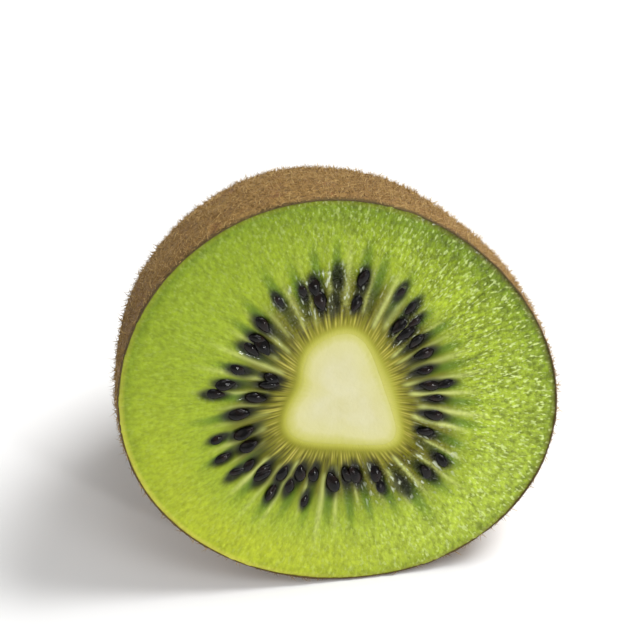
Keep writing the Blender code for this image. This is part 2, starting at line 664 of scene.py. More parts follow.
@dataclass(frozen=True)
class FleshFinish(Finish):
    """Wet green flesh: olive round the core, dark where the seeds lie, and bright and juicy outside."""

    pale_halo: Colour = (206, 202, 118)
    halo: Colour = (184, 182, 66)
    lime: Colour = (130, 129, 22)
    olive: Colour = (124, 121, 20)
    seed_ground: Colour = (110, 110, 26)
    inner_green: Colour = (120, 134, 32)
    middle_green: Colour = (150, 168, 36)
    bright_green: Colour = (153, 173, 42)
    outer_green: Colour = (136, 157, 28)
    shaded_green: Colour = (84, 112, 20)
    yellow_green: Colour = (184, 192, 40)
    pale_green: Colour = (168, 186, 70)
    jelly: Colour = (64, 72, 16)
    well: Colour = (16, 15, 8)
    streak: Colour = (86, 118, 20)
    ray: Colour = (202, 210, 122)
    strand: Colour = (200, 190, 84)
    strand_gap: Colour = (56, 46, 10)
    painted_sparkle: Colour = (220, 236, 150)
    glint: Colour = (222, 230, 204)
    skin_line: Colour = (212, 208, 80)
    skin_shade: Colour = (66, 60, 24)
    zones_start_mm: float = -1.0
    zones_end_mm: float = 20.0

    NAME = "wet_green_flesh"

    def dress(self, recipe: Recipe, cut: Socket) -> None:
        """Mixes the zones, the seed bed, the pulp and the edge, and wets the bumpy face.

        Args:
            recipe: The material to dress.
            cut: Place in the cut's axes.
        """
        from_core = recipe.mask("from_core")
        base = self.zones(recipe, from_core)
        base = self.seed_bed(recipe, cut, base, from_core)
        base = self.pulp(recipe, cut, base, from_core)
        base = self.edge(recipe, base)
        outer = recipe.spread(from_core, 5.0, 9.0)
        juicy = recipe.spread(recipe.mask("sparkle"), 0.0, 0.7, 0.25, 1.0)
        pulp = recipe.times(recipe.cells(cut, 2.0), outer, juicy, -1.2)
        grain = recipe.maths("ADD", pulp, recipe.times(recipe.rays(cut, 300.0, 0.6, 2.0), juicy))
        grain = recipe.maths("ADD", grain, recipe.times(recipe.noise(cut, 1.7, 1.0), recipe.mask("wet_glint"), 5.0))
        glossy = recipe.maths("ADD", recipe.mask("sparkle"), recipe.mask("wet_glint"))
        gloss = recipe.spread(glossy, 0.0, 0.6, 0.0, 0.24)
        dull = recipe.spread(recipe.noise(cut, 1.4, 3.0), 0.3, 0.7, 0.3, 0.4)
        recipe.set(
            base_color=base,
            roughness=recipe.maths("SUBTRACT", dull, gloss),
            normal=recipe.bump(grain, 0.20 * MM, 1.0),
            subsurface_weight=0.2,
            subsurface_radius=(1.0, 1.0, 0.3),
            subsurface_scale=0.6 * MM,
            specular_ior_level=0.2,
            coat_weight=0.06,
            coat_roughness=0.06,
        )

    def zones(self, recipe: Recipe, from_core: Socket) -> Socket:
        """Gives the ground colour from the core out to the rim, with its changes round the fruit.

        Args:
            recipe: The material to dress.
            from_core: Distance from the pale core, in millimetres.

        Returns:
            The ground colour.
        """
        stops = (
            (-1.0, self.pale_halo),
            (0.0, self.halo),
            (0.7, self.lime),
            (1.6, self.olive),
            (3.2, self.seed_ground),
            (6.0, self.seed_ground),
            (7.0, self.inner_green),
            (8.8, self.middle_green),
            (11.5, self.bright_green),
            (20.0, self.outer_green),
        )
        start, length = self.zones_start_mm, self.zones_end_mm - self.zones_start_mm
        share = recipe.spread(from_core, start, self.zones_end_mm)
        base = recipe.ramp(share, [((place - start) / length, srgb(*colour)) for place, colour in stops])
        base = recipe.lay(base, recipe.mask("shade"), self.shaded_green)
        base = recipe.lay(base, recipe.mask("pale"), self.pale_green)
        return recipe.lay(base, recipe.mask("glow"), self.yellow_green)

    def seed_bed(self, recipe: Recipe, cut: Socket, base: Socket, from_core: Socket) -> Socket:
        """Lays the chambers, the walls between them and the fine strands over the ground colour.

        Args:
            recipe: The material to dress.
            cut: Place in the cut's axes.
            base: The colour so far.
            from_core: Distance from the pale core, in millimetres.

        Returns:
            The new colour.
        """
        base = recipe.lay(base, recipe.mask("streak"), self.streak)
        base = recipe.lay(base, recipe.mask("hollow"), self.jelly)
        gaps = recipe.spread(recipe.rays(cut, 260.0, 6.0), 0.42, 0.54, 0.8, 0.0)
        near = recipe.spread(from_core, 1.0, 5.5, 1.0, 0.0)
        start = recipe.spread(from_core, 0.5, 1.8)
        base = recipe.lay(base, recipe.times(gaps, near, start), self.strand_gap)
        base = recipe.lay(base, recipe.mask("strand"), self.strand)
        base = recipe.lay(base, recipe.mask("ray"), self.ray)
        return recipe.lay(base, recipe.mask("well"), self.well)

    def pulp(self, recipe: Recipe, cut: Socket, base: Socket, from_core: Socket) -> Socket:
        """Breaks the outer flesh up into fine juicy grains, stronger where it glistens, with painted sparkles
        there as pale specks and painted glints as whitish dashes in the wet seed chambers.

        Args:
            recipe: The material to dress.
            cut: Place in the cut's axes.
            base: The colour so far.
            from_core: Distance from the pale core, in millimetres.

        Returns:
            The new colour.
        """
        outer = recipe.spread(from_core, 5.0, 9.0)
        fine = recipe.spread(recipe.rays(cut, 300.0, 0.8, 3.0), 0.32, 0.68, -0.34, 0.34)
        soft = recipe.spread(recipe.rays(cut, 64.0, 9.0, 2.0), 0.32, 0.68, -0.15, 0.15)
        soft = recipe.times(soft, recipe.spread(from_core, 9.0, 16.0, 1.0, 0.3))
        broad = recipe.spread(recipe.noise(cut, 0.16, 3.0), 0.30, 0.70, -0.07, 0.07)
        sum_of = recipe.maths("ADD", recipe.maths("ADD", fine, soft), broad)
        # the grain's light and dark grows on the glistening side: partly real pulp grain, partly painted
        # sparkle
        uneven = recipe.spread(recipe.mask("sparkle"), 0.0, 0.7, 0.4, 1.3)
        base = recipe.brighten(base, recipe.maths("ADD", recipe.times(sum_of, outer, uneven), 1.0))
        # painted sparkles: pale specks where the face glistens, standing in for glints of light
        sparkle_specks = recipe.spread(recipe.rays(cut, 380.0, 0.7, 1.0), 0.57, 0.68)
        base = recipe.lay(base, recipe.times(sparkle_specks, recipe.mask("sparkle")), self.painted_sparkle)
        # painted glints: whitish dashes on the wet seed chambers, standing in for highlights
        glints = recipe.spread(recipe.rays(cut, 210.0, 1.1, 1.0), 0.62, 0.74)
        return recipe.lay(base, recipe.times(glints, recipe.mask("wet_glint"), 0.8), self.glint)

    def edge(self, recipe: Recipe, base: Socket) -> Socket:
        """Draws the thin line just inside the skin, pale on one side and dark on the other.

        Args:
            recipe: The material to dress.
            base: The colour so far.

        Returns:
            The new colour.
        """
        to_rim = recipe.mask("to_rim")
        line = recipe.spread(to_rim, 0.15, 0.75, 1.0, 0.0)
        base = recipe.lay(base, recipe.times(line, recipe.mask("pale_line")), self.skin_line)
        return recipe.lay(base, recipe.times(line, recipe.mask("dark_line")), self.skin_shade)


@dataclass(frozen=True)
class CoreFinish(Finish):
    """Smooth pale cream core, yellower and greener towards its edge."""

    cream: Colour = (215, 211, 171)
    warm_cream: Colour = (209, 204, 155)
    rim: Colour = (208, 204, 134)
    edge: Colour = (188, 186, 74)

    NAME = "pale_core"

    def dress(self, recipe: Recipe, cut: Socket) -> None:
        """Clouds the cream, and greens it towards the edge.

        Args:
            recipe: The material to dress.
            cut: Place in the cut's axes.
        """
        cloud = recipe.spread(recipe.noise(cut, 0.30, 3.0), 0.35, 0.65)
        base = recipe.mix(cloud, srgb(*self.cream), srgb(*self.warm_cream))
        ragged = recipe.spread(recipe.rays(cut, 70.0, 3.0), 0.0, 1.0, -0.35, 0.35)
        inward = recipe.maths("ADD", recipe.mask("inward"), ragged)
        base = recipe.lay(base, recipe.spread(inward, 0.4, 4.2, 1.0, 0.0), self.rim)
        base = recipe.lay(base, recipe.spread(inward, 0.0, 1.7, 0.97, 0.0), self.edge)
        recipe.set(
            base_color=base,
            roughness=recipe.spread(recipe.noise(cut, 2.0, 2.0), 0.3, 0.7, 0.32, 0.5),
            normal=recipe.bump(recipe.noise(cut, 3.0, 4.0), 0.05 * MM, 0.6),
            subsurface_weight=0.3,
            subsurface_radius=(1.0, 0.9, 0.5),
            subsurface_scale=0.9 * MM,
            specular_ior_level=0.3,
        )


@dataclass(frozen=True)
class SeedFinish(Finish):
    """Glossy seed coat, near black with a brown purple cast."""

    black: Colour = (10, 8, 8)
    brown: Colour = (34, 20, 16)

    NAME = "seed_coat"

    def dress(self, recipe: Recipe, cut: Socket) -> None:
        """Tints the dark coat from seed to seed and gives it a sharp gloss.

        Args:
            recipe: The material to dress.
            cut: Place in the cut's axes.
        """
        tone = recipe.spread(recipe.noise(cut, 0.8, 2.0), 0.45, 0.80)
        recipe.set(
            base_color=recipe.mix(tone, srgb(*self.black), srgb(*self.brown)),
            roughness=recipe.spread(recipe.noise(cut, 3.0, 2.0), 0.3, 0.7, 0.10, 0.20),
            normal=recipe.bump(recipe.noise(cut, 6.0, 2.0), 0.03 * MM, 0.7),
            specular_ior_level=0.2,
        )


@dataclass(frozen=True)
class SkinFinish(Finish):
    """Thin dry brown skin, patchy, with small dark specks and a darker closed end."""

    tan: Colour = (164, 130, 72)
    brown: Colour = (136, 103, 56)
    dark: Colour = (80, 58, 34)
    reddish: Colour = (140, 98, 60)
    edge: Colour = (74, 62, 30)

    NAME = "brown_skin"

    def dress(self, recipe: Recipe, cut: Socket) -> None:
        """Lays the patches, the dark specks and the dark end over one another.

        Args:
            recipe: The material to dress.
            cut: Place in the cut's axes.
        """
        patches = recipe.spread(recipe.noise(cut, 0.16, 4.0), 0.35, 0.65)
        base = recipe.mix(patches, srgb(*self.brown), srgb(*self.tan))
        base = recipe.lay(base, recipe.spread(recipe.noise(cut, 0.30, 3.0), 0.56, 0.72), self.reddish)
        dark_specks = recipe.spread(recipe.noise(cut, 1.6, 4.0, 0.7), 0.34, 0.56, 0.75, 0.0)
        base = recipe.lay(base, dark_specks, self.dark)
        base = recipe.lay(base, recipe.mask("closed_end"), self.dark)
        base = recipe.lay(base, recipe.mask("cut_edge"), self.edge)
        height = recipe.maths("ADD", recipe.noise(cut, 2.2, 5.0, 0.65), recipe.cells(cut, 1.5))
        recipe.set(
            base_color=base,
            roughness=recipe.spread(recipe.noise(cut, 1.2, 3.0), 0.3, 0.7, 0.62, 0.85),
            normal=recipe.bump(height, 0.18 * MM, 0.9),
            specular_ior_level=0.3,
        )


@dataclass(frozen=True)
class FuzzFinish:
    """Dry plant hair, whose tone changes from strand to strand."""

    name: str
    light: Colour
    dark: Colour

    def build(self) -> bpy.types.Material:
        """Builds the material.

        Returns:
            The material.
        """
        recipe = Recipe(self.name)
        tone = recipe.mask("tone")
        recipe.set(
            base_color=recipe.mix(tone, srgb(*self.dark), srgb(*self.light)),
            roughness=0.6,
            specular_ior_level=0.35,
        )
        return recipe.material


# ---------------------------------------------------------------- the ring of seeds


@dataclass(frozen=True)
class Chamber:
    """One of the seed chambers that lie round the core like spokes."""

    angle: float
    half_width: float
    start: float
    end: float
    trail: float
    depth: float


@dataclass(frozen=True)
class Spoke:
    """A thin pale line along a radius: a wall between chambers, or a fine strand that holds a seed."""

    angle: float
    start: float
    end: float
    width: float
    strength: float


@dataclass(frozen=True)
class SeedSpot:
    """Where one seed lies in the cut, and how it is turned; a buried one only shows as a dark spot."""

    x: float
    y: float
    sunk: float
    turn: Euler
    size: float
    buried: bool


@dataclass(frozen=True)
class SeedArc:
    """A run of seeds along part of the ring, one to a chamber, at one distance from the core."""

    start_deg: float
    end_deg: float
    distance_mm: float
    share: float

    def holds(self, angle: float) -> bool:
        """Tells whether the arc passes an angle."""
        return (math.degrees(angle) - self.start_deg) % 360.0 <= (self.end_deg - self.start_deg) % 360.0


SEED_ARCS = (
    SeedArc(72, 99, 4.5, 0.95),
    SeedArc(70, 143, 7.1, 1.00),
    SeedArc(106, 143, 5.0, 0.75),
    SeedArc(143, 160, 6.8, 0.90),
    SeedArc(150, 182, 3.6, 0.75),
    SeedArc(162, 176, 8.8, 0.90),
    SeedArc(178, 226, 5.6, 1.00),
    SeedArc(186, 216, 8.2, 1.00),
    SeedArc(222, 262, 6.6, 0.80),
    SeedArc(226, 292, 4.2, 1.00),
    SeedArc(286, 326, 6.5, 1.00),
    SeedArc(294, 326, 8.3, 0.70),
    SeedArc(325, 392, 4.9, 1.00),
    SeedArc(350, 360, 7.6, 1.00),
    SeedArc(32, 64, 7.0, 0.90),
    SeedArc(34, 52, 4.6, 0.80),
)


@dataclass
class SeedRing:
    """Where the chambers, the walls between them, the fine strands and the seeds lie round the core."""

    form: FruitForm
    chamber_count: int = 37
    strand_count: int = 132
    buried_share: float = 0.03
    seed: int = 11
    chambers: list[Chamber] = field(default_factory=list)
    walls: list[Spoke] = field(default_factory=list)
    strands: list[Spoke] = field(default_factory=list)
    seeds: list[SeedSpot] = field(default_factory=list)

    def __post_init__(self) -> None:
        """Lays everything out, each thing a little different from the next."""
        draw = np.random.default_rng(self.seed)
        step = FULL_TURN / self.chamber_count
        for index in range(self.chamber_count):
            angle = (index + draw.uniform(-0.18, 0.18)) * step
            self.chambers.append(self.chamber(angle, draw))
            self.walls.append(self.wall((index + 0.5 + draw.uniform(-0.15, 0.15)) * step, draw))
        for index in range(self.strand_count):
            angle = (index + draw.uniform(-0.3, 0.3)) * FULL_TURN / self.strand_count
            self.strands.append(self.strand(angle, draw))
        for arc in SEED_ARCS:
            for chamber in self.chambers:
                if arc.holds(chamber.angle) and draw.uniform() < arc.share:
                    self.seeds.append(self.spot(chamber.angle, arc.distance_mm * MM, draw))

    def chamber(self, angle: float, draw: np.random.Generator) -> Chamber:
        """Makes one chamber of slightly uneven size."""
        return Chamber(
            angle=angle,
            half_width=draw.uniform(0.046, 0.066),
            start=draw.uniform(2.4, 3.4) * MM,
            end=draw.uniform(7.0, 9.0) * MM,
            trail=draw.uniform(2.6, 5.6) * MM,
            depth=draw.uniform(0.20, 0.42) * MM,
        )

    def wall(self, angle: float, draw: np.random.Generator) -> Spoke:
        """Makes one wall between chambers: the line that shows pale."""
        start, end = draw.uniform(1.5, 3.5) * MM, draw.uniform(9.0, 15.0) * MM
        return Spoke(angle, start, end, draw.uniform(0.15, 0.34) * MM, draw.uniform(0.35, 1.0))

    def strand(self, angle: float, draw: np.random.Generator) -> Spoke:
        """Makes one fine strand; a few are long and bright.

        Args:
            angle: Angle of the strand.
            draw: Where the unevenness is drawn from.

        Returns:
            The strand.
        """
        bright = draw.uniform() < 0.14
        end = draw.uniform(3.6, 6.2) * MM if bright else draw.uniform(1.8, 4.2) * MM
        strength = draw.uniform(0.75, 1.0) if bright else draw.uniform(0.25, 0.7)
        return Spoke(angle, 0.5 * MM, end, draw.uniform(0.07, 0.11) * MM, strength)

    def spot(self, angle: float, distance: float, draw: np.random.Generator) -> SeedSpot:
        """Makes one seed's place.

        Args:
            angle: Angle of the seed's chamber.
            distance: How far from the core's edge the seed's arc lies.
            draw: Where the unevenness is drawn from.

        Returns:
            The seed's place.
        """
        angle += draw.uniform(-0.045, 0.045)
        reach = float(self.form.core.radius(np.array([angle]))[0]) + distance + draw.uniform(-0.8, 0.8) * MM
        turn = Euler((draw.uniform(-0.8, 0.8), draw.uniform(-0.3, 0.3), angle + draw.uniform(-0.4, 0.4)))
        sunk = draw.uniform(0.22, 0.55) * MM
        size = draw.uniform(0.86, 1.2)
        x, y = math.cos(angle) * reach, math.sin(angle) * reach
        return SeedSpot(x, y, sunk, turn, size, buried=draw.uniform() < self.buried_share)


# ---------------------------------------------------------------- the flesh


@dataclass
class Flesh:
    """The green half, closed all round: a finely cut face and a plain back under the skin."""

    form: FruitForm
    ring: SeedRing
    columns: int = 700
    face_rings: int = 112
    back_rings: int = 10
    inset: float = 0.18 * MM
    back_inset: float = 0.7 * MM
    skin_room: float = 1.6 * MM
    under_core: float = 0.4 * MM
    pit_share: float = 0.02
    pit_scale: float = 8.0 * MM
    well_half_length: float = 2.5 * MM
    well_half_width: float = 1.08 * MM
    well_darkness: float = 0.95
    buried_darkness: float = 0.85
    waves: Grain = Grain(0.15 * MM, 6.0 * MM, 1.0)
    pulp: Grain = Grain(0.05 * MM, 1.3 * MM, 2.0)
    grit: Grain = Grain(0.04 * MM, 0.5 * MM, 3.0)

    PIT_BELOW = -0.7
    RISES = (("hollow", -0.28), ("well", -0.10), ("streak", -0.06), ("ray", 0.05), ("strand", 0.04))
    CORE_EDGE_SINKS = 0.06 * MM
    RIM_SINKS = 0.10 * MM
    RIM_ROUNDING = 0.5 * MM

    # Where each band starts and is full: distances in from the rim, or out from the core's edge.
    RIM_BAND = (5.0 * MM, 0.4 * MM)
    THIN_RIM_BAND = (2.2 * MM, 0.2 * MM)
    PAST_THE_SEEDS = (8.0 * MM, 13.0 * MM)
    FAR_OUT = (7.0 * MM, 12.0 * MM)
    YELLOWED = (9.5 * MM, 14.5 * MM)
    SEED_RING_START = (2.0 * MM, 3.5 * MM)
    SEED_RING_END = (9.5 * MM, 7.5 * MM)
    WAVY = (0.5 * MM, 4.0 * MM)
    GRAINY = (6.0 * MM, 10.0 * MM)
    # The same along one chamber: from its start, from its end, and for the streak past it.
    CHAMBER_OPENS = (-0.6 * MM, 1.0 * MM)
    CHAMBER_CLOSES = (0.2 * MM, -2.4 * MM)
    STREAK_OPENS = (-3.5 * MM, -1.5 * MM)
    TAPER_AFTER = 2.0 * MM
    TAPER_SHARE = 0.45

    def profile(self) -> list[tuple[float, float]]:
        """Gives the shell's profile: a pit under the core, the cut face at height 0 and a round back.

        Returns:
            Points as (distance from the axis, height), both as shares of the outline's size.
        """
        steps = range(self.face_rings + 1)
        face = [(self.pit_share + (1.0 - self.pit_share) * i / self.face_rings, 0.0) for i in steps]
        turns = [math.pi / 2 * i / self.back_rings for i in range(1, self.back_rings)]
        back = [(math.cos(turn), -math.sin(turn)) for turn in turns]
        return [(0.0, -0.6), (self.pit_share / 2, -0.5), *face, *back, (0.0, -1.0)]

    def build(self) -> bpy.types.Object:
        """Builds the piece.

        Returns:
            The finished flesh.
        """
        item = spin_profile("cut_flesh", self.profile(), self.columns)
        plan = vertices_of(item.data)
        angles = np.arctan2(plan[:, 1], plan[:, 0])
        across = np.hypot(plan[:, 0], plan[:, 1])
        on_face = plan[:, 2] > FACE_BELOW
        pit = ~on_face & (plan[:, 2] > self.PIT_BELOW) & (across < self.pit_share)
        core = self.form.core.radius(angles)
        rim = self.form.rim.radius(angles) - self.inset
        share = np.clip((across - self.pit_share) / (1.0 - self.pit_share), 0.0, 1.0)
        reach = core - self.under_core + (rim - core + self.under_core) * share
        places = np.stack([np.cos(angles) * reach, np.sin(angles) * reach, np.zeros_like(reach)], axis=1)
        masks = self.masks(angles, reach - core, rim - reach, places)
        places[:, 2] = self.relief(places, reach - core, rim - reach, masks)
        back = ~on_face & ~pit
        places[back, :2] = self.form.section(angles[back], across[back], self.inset + self.back_inset)
        places[back, 2] = (self.form.depth - self.skin_room) * plan[back, 2]
        places[pit, :2] = plan[pit, :2] / self.pit_share * (core[pit] - self.under_core)[:, None]
        places[pit, 2] = plan[pit, 2] * self.pit_scale
        move_vertices(item.data, places)
        write_masks(item.data, {name: np.where(on_face, values, 0.0) for name, values in masks.items()})
        self.form.rest_on_ground(item.data, self.inset)
        put_in_place(item, self.form.matrix())
        item.data.materials.append(FleshFinish().build(self.form))
        hand_over(item, "flesh", "flesh")
        return item

    def masks(
        self, angles: np.ndarray, from_core: np.ndarray, to_rim: np.ndarray, places: np.ndarray
    ) -> dict[str, np.ndarray]:
        """Works out where each feature of the cut shows.

        Args:
            angles: Angle of each vertex about the fruit's middle.
            from_core: Distance of each vertex from the core's edge.
            to_rim: Distance of each vertex from the rim.
            places: The vertices, flat in the cut's plane.

        Returns:
            A value for each vertex, by feature: distances in millimetres, and the rest from 0 to 1.
        """
        hollow, streak = self.chambers(angles, from_core)
        rim_band = smooth_step(to_rim, *self.RIM_BAND)
        thin_band = smooth_step(to_rim, *self.THIN_RIM_BAND)
        outside = smooth_step(from_core, *self.PAST_THE_SEEDS)
        seed_ring = smooth_step(from_core, *self.SEED_RING_START)
        seed_ring *= smooth_step(from_core, *self.SEED_RING_END)
        # where the seed chambers are wet: glossier and bumpier, with painted glints laid on
        wet_parts = (Part.WET_TOP, Part.WET_FOOT, Part.WET_CORNER)
        wet_glint = np.maximum.reduce([part.over(angles) for part in wet_parts])
        shade = np.maximum.reduce(
            [
                0.62 * Part.SHADED_BAND.over(angles) * rim_band,
                0.8 * Part.SHADED_EDGE.over(angles) * thin_band,
                (0.5 - 0.4 * Part.LIT_FOOT.over(angles)) * thin_band,
            ]
        )
        shade += (0.12 * Part.SHADED_TOP.over(angles) + 0.06 * Part.SHADED_SIDE.over(angles)) * outside
        walls = self.spokes(self.ring.walls, angles, from_core, places)
        far_out = smooth_step(from_core, *self.FAR_OUT)
        return {
            "from_core": (from_core - self.form.halo(angles)) / MM,
            "to_rim": np.maximum(to_rim, 0.0) / MM,
            "hollow": hollow * 0.78,
            "streak": streak * 0.8,
            "well": self.wells(places),
            "ray": walls * (1.0 - 0.4 * Part.QUIET_SIDE.over(angles)),
            "strand": self.spokes(self.ring.strands, angles, from_core, places),
            "shade": shade,
            "pale": Part.PALE_FOOT.over(angles) * outside * (1.0 - 0.6 * thin_band) * 0.55,
            "glow": Part.YELLOW_FOOT.over(angles) * smooth_step(from_core, *self.YELLOWED) * 0.6,
            "wet_glint": wet_glint * seed_ring,
            "sparkle": (0.08 + 0.92 * Part.GLISTENING_SIDE.over(angles)) * far_out * 0.8,
            "pale_line": np.maximum(Part.PALE_EDGE.over(angles) * 0.9, 0.2),
            "dark_line": Part.DARK_EDGE.over(angles) * 0.8,
        }

    def chambers(self, angles: np.ndarray, from_core: np.ndarray) -> tuple[np.ndarray, np.ndarray]:
        """Gives how much each vertex lies in a chamber, and in the dark streak beyond one.

        Args:
            angles: Angle of each vertex.
            from_core: Distance of each vertex from the core's edge.

        Returns:
            The two, each from 0 to 1.
        """
        hollow = np.zeros_like(angles)
        streak = np.zeros_like(angles)
        for chamber in self.ring.chambers:
            turn = np.abs(turn_from(angles, chamber.angle))
            far = chamber.end + chamber.trail
            narrowed = self.TAPER_SHARE * smooth_step(from_core, chamber.start + self.TAPER_AFTER, far)
            half_width = chamber.half_width * (1.0 - narrowed)
            across = smooth_step(turn, half_width * 1.3, half_width * 0.3)
            begin = smooth_step(from_core - chamber.start, *self.CHAMBER_OPENS)
            finish = smooth_step(from_core - chamber.end, *self.CHAMBER_CLOSES)
            hollow = np.maximum(hollow, across * begin * finish)
            trail = smooth_step(from_core - chamber.end, *self.STREAK_OPENS)
            streak = np.maximum(streak, across * trail * smooth_step(from_core, far, chamber.end))
        return hollow, streak

    def wells(self, places: np.ndarray) -> np.ndarray:
        """Gives how close each vertex lies to a seed: the dark jelly round it.

        Args:
            places: The vertices, flat in the cut's plane.

        Returns:
            The darkness at each vertex, from 0 to 1.
        """
        close = np.zeros(len(places))
        for spot in self.ring.seeds:
            away = places[:, :2] - (spot.x, spot.y)
            turn = math.atan2(spot.y, spot.x)
            along = away @ (math.cos(turn), math.sin(turn)) / (self.well_half_length * spot.size)
            aside = away @ (-math.sin(turn), math.cos(turn)) / (self.well_half_width * spot.size)
            dark = self.buried_darkness if spot.buried else self.well_darkness
            close = np.maximum(close, smooth_step(np.hypot(along, aside), 1.0, 0.4) * dark)
        return close

    def spokes(
        self, spokes: Sequence[Spoke], angles: np.ndarray, from_core: np.ndarray, places: np.ndarray
    ) -> np.ndarray:
        """Gives how much each vertex lies on one of the thin pale lines.

        Args:
            spokes: The lines.
            angles: Angle of each vertex.
            from_core: Distance of each vertex from the core's edge.
            places: The vertices, flat in the cut's plane.

        Returns:
            The lines' strength at each vertex.
        """
        radius = np.hypot(places[:, 0], places[:, 1])
        total = np.zeros_like(angles)
        for spoke in spokes:
            aside = turn_from(angles, spoke.angle) * radius
            across = np.exp(-((aside / spoke.width) ** 2))
            begin = smooth_step(from_core, spoke.start, spoke.start + 1.0 * MM)
            finish = smooth_step(from_core, spoke.end, spoke.start + 0.45 * (spoke.end - spoke.start))
            total = np.maximum(total, across * begin * finish * spoke.strength)
        return total

    def relief(
        self, places: np.ndarray, from_core: np.ndarray, to_rim: np.ndarray, masks: dict[str, np.ndarray]
    ) -> np.ndarray:
        """Works out how far the cut stands out of its plane at each vertex.

        Args:
            places: The vertices, flat in the cut's plane.
            from_core: Distance of each vertex from the core's edge.
            to_rim: Distance of each vertex from the rim.
            masks: Where each feature shows.

        Returns:
            The height of each vertex.
        """
        outer = smooth_step(from_core, *self.GRAINY)
        height = sum(rise * MM * masks[feature] for feature, rise in self.RISES)
        height += self.waves.over(places) * smooth_step(from_core, *self.WAVY)
        height += self.pulp.over(places) * outer
        height += self.grit.over(places) * (0.2 + outer * (0.4 + 1.6 * masks["sparkle"]))
        height -= self.CORE_EDGE_SINKS * smooth_step(from_core, 0.0, -self.under_core)
        height -= self.RIM_SINKS * smooth_step(to_rim, self.RIM_ROUNDING, 0.0)
        return height


# ---------------------------------------------------------------- the core


@dataclass
class Core:
    """The pale core: a flush, softly rolled face and a body that narrows into the fruit."""

    form: FruitForm
    columns: int = 240
    face_rings: int = 40
    side_rings: int = 10
    depth: float = 26.5 * MM
    crown: float = 0.03 * MM
    roll: float = 0.5 * MM
    drop: float = 0.05 * MM
    overlap: float = 0.15 * MM
    bluntness: float = 0.6
    waves: Grain = Grain(0.05 * MM, 3.0 * MM, 5.0)
    grit: Grain = Grain(0.012 * MM, 0.7 * MM, 6.0)

    def build(self) -> bpy.types.Object:
        """Builds the piece.

        Returns:
            The finished core.
        """
        turns = [math.pi / 2 * i / self.side_rings for i in range(1, self.side_rings)]
        profile = [(i / self.face_rings, 0.0) for i in range(self.face_rings + 1)]
        profile += [(math.cos(turn) ** self.bluntness, -math.sin(turn)) for turn in turns] + [(0.0, -1.0)]
        item = spin_profile("core_cut", profile, self.columns)
        plan = vertices_of(item.data)
        angles = np.arctan2(plan[:, 1], plan[:, 0])
        across = np.hypot(plan[:, 0], plan[:, 1])
        edge = self.form.core.radius(angles) + self.overlap
        places = np.stack([np.cos(angles), np.sin(angles), plan[:, 2]], axis=1)
        places *= np.stack([edge * across, edge * across, np.full_like(edge, self.depth)], axis=1)
        on_face = plan[:, 2] > FACE_BELOW
        inward = edge * (1.0 - across)
        height = self.crown - (self.crown + self.drop) * smooth_step(inward, self.roll, 0.0)
        height += self.waves.over(places) * smooth_step(inward, 0.3 * MM, 1.5 * MM)
        height += self.grit.over(places)
        places[:, 2] += np.where(on_face, height, -self.drop)
        move_vertices(item.data, places)
        pale = (inward + self.form.halo(angles)) / MM
        write_masks(item.data, {"inward": np.where(on_face, pale, 0.0)})
        put_in_place(item, self.form.matrix())
        item.data.materials.append(CoreFinish().build(self.form))
        hand_over(item, "core", "core")
        return item


# ---------------------------------------------------------------- the seeds


@dataclass
class Seeds:
    """Small flat teardrops that point at the core, half sunk in their chambers."""

    form: FruitForm
    ring: SeedRing
    length: float = 2.35 * MM
    width: float = 1.45 * MM
    thickness: float = 0.95 * MM

    def teardrop(self) -> bpy.types.Object:
        """Models one seed at the origin, its point towards -x.

        Returns:
            The seed.
        """
        activate(None)
        bpy.ops.mesh.primitive_uv_sphere_add(segments=16, ring_count=10, radius=0.5)
        item = bpy.context.object
        bpy.ops.object.mode_set(mode="EDIT")
        bpy.ops.mesh.select_all(action="SELECT")
        bpy.ops.transform.rotate(value=math.pi / 2, orient_axis="Y", center_override=(0, 0, 0))
        bpy.ops.transform.resize(value=(self.length, self.width, self.thickness), center_override=(0, 0, 0))
        bpy.ops.object.mode_set(mode="OBJECT")
        places = vertices_of(item.data)
        along = places[:, 0] / self.length + 0.5
        taper = 0.6 + 0.45 * smooth_step(along, 0.0, 0.62)
        places[:, 1] *= taper
        places[:, 2] *= 0.7 + 0.3 * taper
        move_vertices(item.data, places)
        return item

    def build(self) -> bpy.types.Object:
        """Builds the piece.

        Returns:
            All seeds, joined.
        """
        model = self.teardrop()
        copies = []
        for spot in self.ring.seeds:
            if spot.buried:
                continue
            copy = add_object("seed_copy", model.data.copy())
            place = Matrix.Translation((spot.x, spot.y, -spot.sunk))
            copy.data.transform(place @ spot.turn.to_matrix().to_4x4() @ Matrix.Scale(spot.size, 4))
            copies.append(copy)
        bpy.data.objects.remove(model)
        activate(copies[0])
        for copy in copies:
            copy.select_set(True)
        bpy.ops.object.join()
        item = bpy.context.object
        item.name = item.data.name = "seeds"
        put_in_place(item, self.form.matrix())
        item.data.materials.append(SeedFinish().build(self.form))
        hand_over(item, "seed")
        return item


# ---------------------------------------------------------------- the skin and its fuzz


